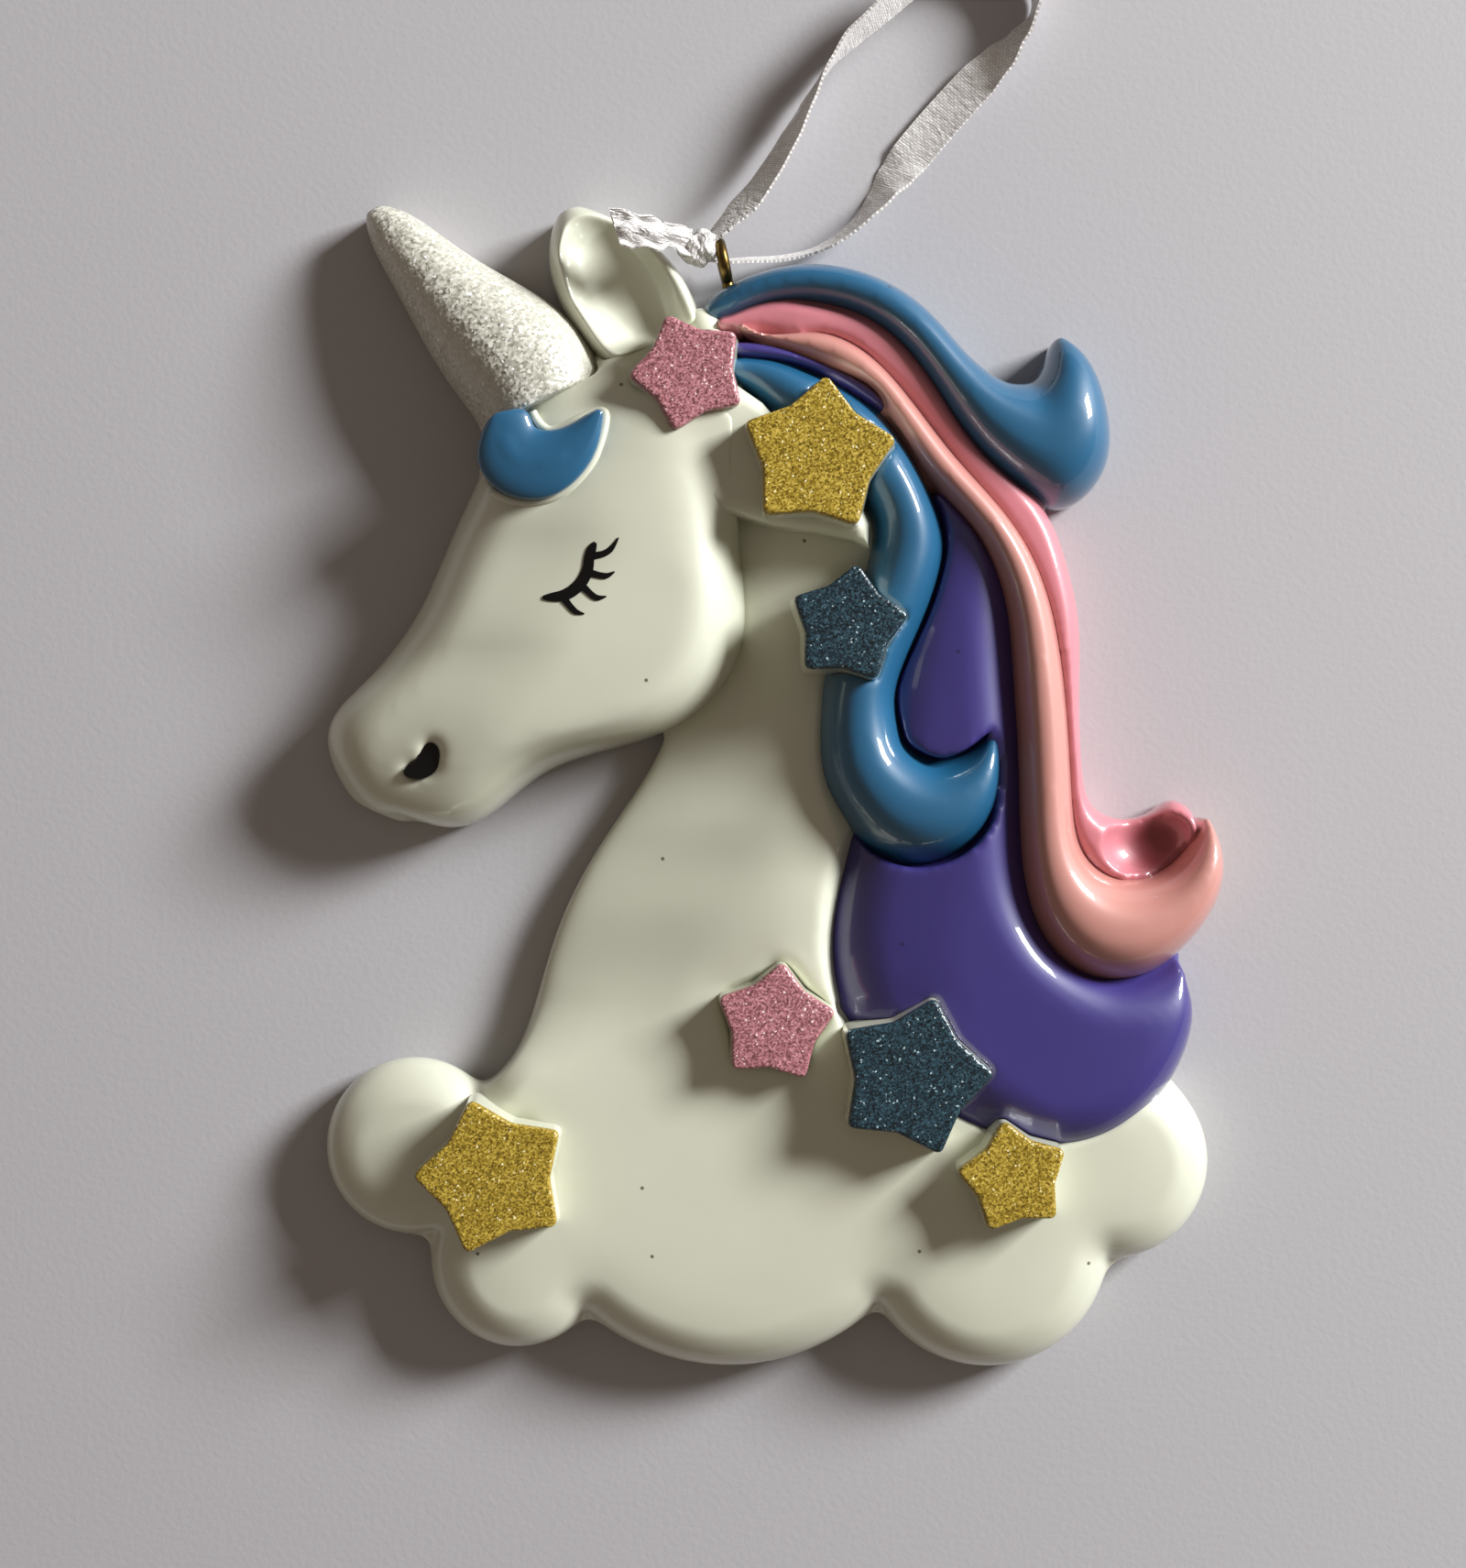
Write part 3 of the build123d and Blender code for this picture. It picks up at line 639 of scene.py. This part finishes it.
# %% Relaxed cloud and neck
body_skin = castings["body"]
body_skin.data.update()
film = body_skin.vertex_groups.new(name="film")
for v in body_skin.data.vertices:
    share = ease(v.normal.z, 0.955, 0.995)
    if share > 0 and v.co.y < 20 * MM:
        film.add([v.index], share, "REPLACE")
relax = body_skin.modifiers.new("relax", "SMOOTH")
relax.iterations = 400
relax.use_x = False
relax.use_y = False
relax.vertex_group = "film"
melt = body_skin.modifiers.new("melt", "SMOOTH")
melt.iterations = 14
apply_all(body_skin)
body_skin.vertex_groups.clear()
sand_back(body_skin)
print("relaxed:", len(body_skin.data.vertices), "points")

# %% [markdown]
# The ear is a leaf with thin rims, and its hollow runs on down between horn and star into the brow. A
# trough is pressed into ear and head alike: along its axis one list gives its floor and another its
# half width, in millimetres from the ear's middle. The ear's root rises to the brow first.

# %% Ear trough
EAR_MIDDLE = Vector((-14.7, 48.0, 0))
EAR_AXIS = Vector((0.559, -0.829, 0))
EAR_SIDE = Vector((0.829, 0.559, 0))
TROUGH_FLOOR = [(-7.5, 6.0), (-4, 3.7), (0, 3.0), (5, 3.4), (9, 4.8), (12, 7.0), (14.5, 9.5)]
TROUGH_HALF = [(-7.5, 0.9), (-4, 3.5), (0, 4.8), (5, 5.0), (9, 4.5), (12, 3.4), (14.5, 1.6)]
for v in castings["ear"].data.vertices:
    beyond = (v.co / MM - EAR_MIDDLE).dot(EAR_AXIS)
    v.co.z += ease(beyond, 1.0, 7.0) * 1.7 * ease(v.co.z / MM, 2.5, 6.5) * MM
for solid in ("ear", "head"):
    for v in castings[solid].data.vertices:
        offset = v.co / MM - EAR_MIDDLE
        reach = offset.dot(EAR_AXIS)
        if v.co.z > EDGE_LEVEL * MM and -7.5 < reach < 14.5:
            floor_level = along(TROUGH_FLOOR, reach)
            share = abs(offset.dot(EAR_SIDE)) / along(TROUGH_HALF, reach)
            height = v.co.z / MM
            if share < 1 and height > floor_level:
                v.co.z = (floor_level + (height - floor_level) * share ** 2) * MM
    melt = castings[solid].modifiers.new("melt", "SMOOTH")
    melt.iterations = 8
    apply_all(castings[solid])
print("trough pressed")

# %% [markdown]
# The forelock is a flat pillow that stands a little proud of the brow, and the roots of the mane's
# locks run in under the pink star. Both are small moves of points in finished castings.

# %% Forelock pillow and lock roots
def soft_top(piece, weight, rounds):
    """Smooth the heights of a piece where a weight of (x, y, z) in millimetres says so."""
    group = piece.vertex_groups.new(name="top")
    for v in piece.data.vertices:
        share = weight(*(v.co / MM))
        if share > 0:
            group.add([v.index], share, "REPLACE")
    level = piece.modifiers.new("level", "SMOOTH")
    level.iterations = rounds
    level.use_x = False
    level.use_y = False
    level.vertex_group = "top"
    apply_all(piece)
    piece.vertex_groups.clear()


for v in castings["forelock"].data.vertices:
    height = v.co.z / MM
    if height > 2.6:
        v.co.z += (max(11.0 - height, 0) * 0.88 + 0.6) * MM
soft_top(castings["forelock"], lambda x, y, z: ease(z, 9.0, 10.5), 40)
for solid in ("purple_strand", "front_lock"):
    for v in castings[solid].data.vertices:
        v.co.x -= 1.3 * (1 - ease(v.co.x / MM, -3.6, 2.0)) * MM
print("forelock raised, roots drawn in")

# %% [markdown]
# The forelock lies in a bed of white: the lacquer drew up along its lower side in a bead nearly a
# millimetre wide. The bead is a curve along the lock with a round section. It is laid on the head by
# a ray that looks down for the head's surface under each of its points, and then made a mesh.

# %% White bead along the forelock
FORELOCK_RIM = [(-26.2, 27.4), (-24.6, 26.4), (-22.0, 26.1), (-19.2, 27.0), (-16.9, 29.4), (-15.85, 32.1),
                (-15.4, 34.7), (-16.4, 34.8), (-18.0, 34.1), (-20.0, 33.1), (-21.0, 33.0), (-22.1, 34.0),
                (-22.4, 34.8)]
BEAD_LOWEST = 8.4 * MM
bpy.context.view_layer.update()
curve = bpy.data.curves.new("forelock_bead", "CURVE")
curve.dimensions = "3D"
curve.bevel_depth = 0.45 * MM
curve.bevel_resolution = 4
curve.use_fill_caps = True
spline = curve.splines.new("NURBS")
spline.points.add(len(FORELOCK_RIM) - 1)
for point, (x, y) in zip(spline.points, FORELOCK_RIM):
    start = Vector(((x + SHIFT) * MM, y * MM, 30 * MM))
    hit, spot = castings["head"].ray_cast(start, (0, 0, -1))[:2]
    level = max(spot.z, BEAD_LOWEST) if hit else BEAD_LOWEST
    point.co = (start.x, start.y, level - 0.1 * MM, 1)
spline.order_u = 3
spline.use_endpoint_u = True
spline.resolution_u = 10
bead = bpy.data.objects.new("forelock_bead", curve)
scene.collection.objects.link(bead)
select_only(bead)
bpy.ops.object.convert(target="MESH")
bead = bpy.context.object
bpy.ops.object.shade_smooth()
bead.data.materials.append(white_gloss)
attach(bead, "ornament")
print("bead:", len(bead.data.polygons), "faces")

# %% [markdown]
# The yellow star in the mane sits on a white bed that runs level with the cheek, ends in a soft edge
# below the star, and has a square end against the blue lock. Its outline is a flat curve, given depth
# and a round edge, and then tipped a little to the right.

# %% White bed
BED_OUTLINE = [(-8.0, 26.0), (-4.0, 25.3), (0.0, 24.2), (4.0, 23.6), (7.4, 22.9), (8.9, 22.2), (9.0, 24.4),
               (8.2, 26.2), (5.6, 28.9), (2.0, 32.2), (-1.0, 35.6), (-3.6, 37.4), (-8.0, 37.4)]
BED_TOP = 9.85
BED_EDGE = 1.5
BED_HALF = 1.5
BED_TILT = 0.03
curve = bpy.data.curves.new("star_bed", "CURVE")
curve.dimensions = "2D"
curve.fill_mode = "BOTH"
curve.extrude = BED_HALF * MM
curve.bevel_depth = BED_EDGE * MM
curve.bevel_resolution = 6
curve.offset = -BED_EDGE * MM
spline = curve.splines.new("POLY")
spline.points.add(len(BED_OUTLINE) - 1)
for point, (x, y) in zip(spline.points, BED_OUTLINE):
    point.co = ((x + SHIFT) * MM, y * MM, 0, 1)
spline.use_cyclic_u = True
bed = bpy.data.objects.new("star_bed", curve)
scene.collection.objects.link(bed)
select_only(bed)
bpy.ops.object.convert(target="MESH")
bed = bpy.context.object
for v in bed.data.vertices:
    v.co.z += (BED_TOP - BED_HALF - BED_EDGE) * MM - BED_TILT * v.co.x
bpy.ops.object.mode_set(mode="EDIT")
bpy.ops.mesh.select_all(action="SELECT")
bpy.ops.mesh.remove_doubles(threshold=0.001 * MM)
bpy.ops.object.mode_set(mode="OBJECT")
print("bed:", len(bed.data.polygons), "faces")

# %% [markdown]
# The cheek's shoulder beside the bed is raised to a hair above its level, so that no seam shows, and
# its heights are smoothed. A drop of white closes the corner between ear, star and mane: a sphere,
# pressed flat and turned along the corner.

# %% Cheek and corner drop
for v in castings["head"].data.vertices:
    x, y, z = v.co / MM
    if z > 2.6 and x > -12:
        level = BED_TOP + 0.12 - BED_TILT * x
        v.co.z += max(level - z, 0) * ease(y, 22, 28) * (1 - ease(y, 35, 39)) * MM
soft_top(castings["head"],
         lambda x, y, z: ease(x, -17, -12) * ease(y, 19, 23) * (1 - ease(y, 39, 42)) * ease(z, 6.5, 8.5), 160)
bpy.ops.object.select_all(action="DESELECT")
bpy.ops.mesh.primitive_uv_sphere_add(segments=48, ring_count=24, radius=1 * MM,
                                     location=(-6.4 * MM, 43.3 * MM, 4.8 * MM))
drop = bpy.context.object
drop.name = "corner_drop"
drop.scale = (1.9, 1.5, 1.5)
drop.rotation_euler = (0, 0, math.radians(-50))
bpy.ops.object.transform_apply(location=True, rotation=True, scale=True)
for piece in (bed, drop):
    select_only(piece)
    bpy.ops.object.shade_smooth_by_angle(angle=math.radians(60))
    piece.data.materials.append(white_gloss)
    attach(piece, "ornament")
    print(piece.name, len(piece.data.polygons), "faces")

# %% [markdown]
# Glitter is a crust of tiny plastic flakes stuck on wet paint. Each flake faces its own way, so each is
# a little lighter or darker than its neighbours and a few flash. Voronoi cells stand for flakes: every
# cell has its own random colour, which picks its tone and tips its normal. The tones are painted light
# and shade, and the flashes are painted glints.

# %% Glitter finish
def glitter(name, flake, tones, flash, tip):
    """Flakes of a size in millimetres, in tones from dark to light that are painted shade and light of their
    facing, some of them with painted flashes.
    """
    material, tree, shader = new_material(name)
    place = node(tree, "ShaderNodeTexCoord")
    flakes = node(tree, "ShaderNodeTexVoronoi", {"Vector": place.outputs["Object"]},
                  {"Scale": 1 / (flake * MM)})
    split = node(tree, "ShaderNodeSeparateColor", {"Color": flakes.outputs["Color"]})
    # Painted light and shade: the ramp's tones stand for flakes facing towards or away from the lamp.
    ramp = node(tree, "ShaderNodeValToRGB", {"Fac": split.outputs["Red"]})
    ramp.color_ramp.elements[0].color = paint(tones[0])
    ramp.color_ramp.elements[1].color = paint(tones[2])
    ramp.color_ramp.elements.new(0.5).color = paint(tones[1])
    # Painted glints: a few flakes take the light flash tone.
    rare = node(tree, "ShaderNodeMath", {0: split.outputs["Green"]}, {1: 1 - flash},
                operation="GREATER_THAN")
    tone = node(tree, "ShaderNodeMix", {0: rare.outputs[0], 6: ramp.outputs["Color"]}, data_type="RGBA")
    tone.inputs[7].default_value = paint(tones[3])
    facing = node(tree, "ShaderNodeVectorMath", {0: flakes.outputs["Color"]}, {1: (0.5, 0.5, 0.5)},
                  operation="SUBTRACT")
    tipped = node(tree, "ShaderNodeVectorMath", {0: facing.outputs[0]}, {"Scale": tip},
                  operation="SCALE")
    surface = node(tree, "ShaderNodeNewGeometry")
    lean = node(tree, "ShaderNodeVectorMath", {0: surface.outputs["Normal"], 1: tipped.outputs[0]},
                operation="ADD")
    unit = node(tree, "ShaderNodeVectorMath", {0: lean.outputs[0]}, operation="NORMALIZE")
    tree.links.new(tone.outputs[2], shader.inputs["Base Color"])
    tree.links.new(unit.outputs[0], shader.inputs["Normal"])
    shader.inputs["Roughness"].default_value = 0.3
    shader.inputs["Specular IOR Level"].default_value = 0.8
    return material


white_glitter = glitter("white_glitter_crust", 0.24, ("#BDBBAC", "#CDCBBD", "#DAD9CC", "#FFFFFF"), 0.012, 0.4)
pink_glitter = glitter("pink_glitter_crust", 0.15, ("#8C555C", "#AE7077", "#C58B90", "#F3DADB"), 0.012, 0.4)
blue_glitter = glitter("teal_glitter_crust", 0.15, ("#0E1C23", "#1A323D", "#2F4E5B", "#9DB6BC"), 0.014, 0.4)
yellow_glitter = glitter("yellow_glitter_crust", 0.15, ("#7A6212", "#A58A2A", "#C2A848", "#F3E8B8"),
                         0.012, 0.4)
print("glitters: 4")

# %% [markdown]
# The stars were cut from glitter board with a white core: a coarse sparkling face, and sides that
# show white. A softened copy of each solid gets the grain as real relief on its face only, through a
# vertex group, and its side faces get the white finish.

# %% Glitter stars
def crust(piece, grain, height, floor_level):
    """Roughen what faces up with a Voronoi relief of that grain and height, in millimetres."""
    group = piece.vertex_groups.new(name="face")
    ups = [v.index for v in piece.data.vertices if v.normal.z > 0.55 and v.co.z > floor_level * MM]
    group.add(ups, 1.0, "REPLACE")
    cells = bpy.data.textures.new(piece.name + "_grain", "VORONOI")
    cells.noise_scale = grain * MM
    rough = piece.modifiers.new("rough", "DISPLACE")
    rough.texture = cells
    rough.texture_coords = "LOCAL"
    rough.strength = height * MM
    rough.mid_level = 0.5
    rough.vertex_group = "face"
    apply_all(piece)
    piece.vertex_groups.clear()


STARS = {"star_pink_ear": pink_glitter, "star_pink_neck": pink_glitter, "star_blue_mane": blue_glitter,
         "star_blue_cloud": blue_glitter, "star_yellow_mane": yellow_glitter,
         "star_yellow_right": yellow_glitter, "star_yellow_left": yellow_glitter}
for solid, finish in STARS.items():
    piece = cast_copy(solid, solid + "_board", 0.14, 6, 0.06)
    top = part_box(solid)[1][2] / MM
    crust(piece, 0.22, 0.08, top - 1.2)
    piece.data.materials.append(finish)
    piece.data.materials.append(white_gloss)
    for face in piece.data.polygons:
        if face.center.z < (top - 0.75) * MM:
            face.material_index = 1
    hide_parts(solid)
    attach(piece, "ornament")
    print(piece.name, len(piece.data.polygons), "faces")

# %% [markdown]
# The horn is a smooth cone under a thick white crust, like sugar. It is the same recipe with coarser
# grains all over.

# %% Sugared horn
horn = cast_copy("horn", "horn_casting", 0.2, 8, 0.1)
crust(horn, 0.32, 0.1, -1)
horn.data.materials.append(white_glitter)
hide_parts("horn")
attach(horn, "ornament")
print(horn.name, len(horn.data.polygons), "faces")

# %% [markdown]
# The closed eye is five strokes of black paint made with a fine brush: one bent lid line and four
# lashes. Each stroke is a curve that is given width and laid flat, projected down on the head, and
# made as thick as a film of paint.

# %% Brushed eyelashes
black_paint, tree, shader = new_material("lacquered_black_ink")
place = node(tree, "ShaderNodeTexCoord")
streaks = node(tree, "ShaderNodeTexNoise", {"Vector": place.outputs["Object"]}, {"Scale": 1 / (0.8 * MM)})
tone = node(tree, "ShaderNodeMix", {"Factor": streaks.outputs["Fac"]},
            {6: paint("#060506"), 7: paint("#0C0B0C")}, data_type="RGBA")
tree.links.new(tone.outputs[2], shader.inputs["Base Color"])
shader.inputs["Roughness"].default_value = 0.35
shader.inputs["Specular IOR Level"].default_value = 0.25
shader.inputs["Coat Weight"].default_value = 0.3
shader.inputs["Coat Roughness"].default_value = 0.05
HEAD_TOP = 10.8


def on_photo(px, py, height):
    """Place in millimetres of a point of the picture that lies at a height above the paper."""
    scale = 0.088 * (1 - height / 260)
    return (-3.72 + (px - 800) * scale, 0.2 + (855.5 - py) * scale)


LASH_STROKES = [
    [(592, 652, 0.3), (598, 652, 0.75), (618, 650, 1.1), (634, 638, 1.1), (642, 622, 1.05), (643, 607, 0.95),
     (647, 596, 0.85), (650, 592, 0.3)],
    [(643, 607, 0.8), (652, 606, 0.6), (661, 604, 0.6), (669, 598, 0.5), (675, 587, 0.12)],
    [(640, 624, 0.8), (650, 627, 0.6), (659, 629, 0.6), (665, 628, 0.45), (671, 624, 0.12)],
    [(633, 637, 0.8), (641, 645, 0.6), (649, 652, 0.6), (655, 653, 0.45), (662, 651, 0.12)],
    [(613, 650, 0.8), (620, 659, 0.6), (626, 666, 0.6), (631, 669, 0.45), (638, 670, 0.12)],
]
curve = bpy.data.curves.new("lashes", "CURVE")
curve.dimensions = "3D"
curve.twist_mode = "Z_UP"
curve.extrude = 0.5 * MM
for stroke in LASH_STROKES:
    spline = curve.splines.new("NURBS")
    spline.points.add(len(stroke) - 1)
    for point, (px, py, width) in zip(spline.points, stroke):
        x, y = on_photo(px, py, HEAD_TOP)
        point.co = (x * MM, y * MM, 14 * MM, 1)
        point.radius = width
        point.tilt = math.pi / 2
    spline.order_u = 3
    spline.use_endpoint_u = True
    spline.resolution_u = 12
lashes = bpy.data.objects.new("eyelashes", curve)
scene.collection.objects.link(lashes)
select_only(lashes)
bpy.ops.object.convert(target="MESH")
lashes = bpy.context.object
lay = lashes.modifiers.new("lay", "SHRINKWRAP")
lay.target = castings["head"]
lay.wrap_method = "PROJECT"
lay.use_project_z = True
lay.use_negative_direction = True
lay.use_positive_direction = False
lay.offset = 0.05 * MM
film = lashes.modifiers.new("film", "SOLIDIFY")
film.thickness = 0.09 * MM
film.offset = 0
apply_all(lashes)
bpy.ops.object.shade_smooth_by_angle(angle=math.radians(50))
lashes.data.materials.append(black_paint)
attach(lashes, "ornament")
print("lashes:", len(lashes.data.polygons), "faces")

# %% [markdown]
# The nostril is a bean-shaped hollow pressed into the muzzle and filled with black. Its outline is a
# flat curve, made a mesh, given a thickness, and set on the floor of the hollow.

# %% Black nostril
NOSTRIL_OUTLINE = [(458, 811), (470, 806), (481, 813), (483, 829), (474, 845), (458, 851), (443, 848),
                   (440, 841), (449, 833), (457, 829), (456, 820)]
NOSTRIL_LEVEL = 8.2
curve = bpy.data.curves.new("nostril", "CURVE")
curve.dimensions = "2D"
curve.fill_mode = "BOTH"
spline = curve.splines.new("NURBS")
spline.points.add(len(NOSTRIL_OUTLINE) - 1)
for point, (px, py) in zip(spline.points, NOSTRIL_OUTLINE):
    x, y = on_photo(px, py, NOSTRIL_LEVEL)
    point.co = (x * MM, y * MM, 0, 1)
spline.order_u = 3
spline.use_cyclic_u = True
curve.extrude = 0.5 * MM
nostril = bpy.data.objects.new("nostril_paint", curve)
scene.collection.objects.link(nostril)
select_only(nostril)
bpy.ops.object.convert(target="MESH")
nostril = bpy.context.object
nostril.location.z = NOSTRIL_LEVEL * MM
bpy.ops.object.transform_apply(location=True, rotation=True, scale=True)
bpy.ops.object.shade_smooth_by_angle(angle=math.radians(50))
nostril.data.materials.append(black_paint)
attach(nostril, "ornament")
print("nostril:", len(nostril.data.polygons), "faces")

# %% [markdown]
# The screw eye is steel wire, bent and brass plated, then darkened so that it looks old: brown in the
# hollows and bright where it is rubbed. Its solid has the right shape and stays.

# %% Antique brass screw eye
brass, tree, shader = new_material("antiqued_brass_plate")
place = node(tree, "ShaderNodeTexCoord")
patina = node(tree, "ShaderNodeTexNoise", {"Vector": place.outputs["Object"]},
              {"Scale": 1 / (0.7 * MM), "Detail": 4})
tone = node(tree, "ShaderNodeMix", {"Factor": patina.outputs["Fac"]},
            {6: paint("#2C2212"), 7: paint("#8E7440")}, data_type="RGBA")
tree.links.new(tone.outputs[2], shader.inputs["Base Color"])
shader.inputs["Metallic"].default_value = 1.0
shader.inputs["Roughness"].default_value = 0.32
eye = nodes["screw_eye"]
eye.data.materials.clear()
eye.data.materials.append(brass)
print("screw eye:", len(eye.data.polygons), "faces")
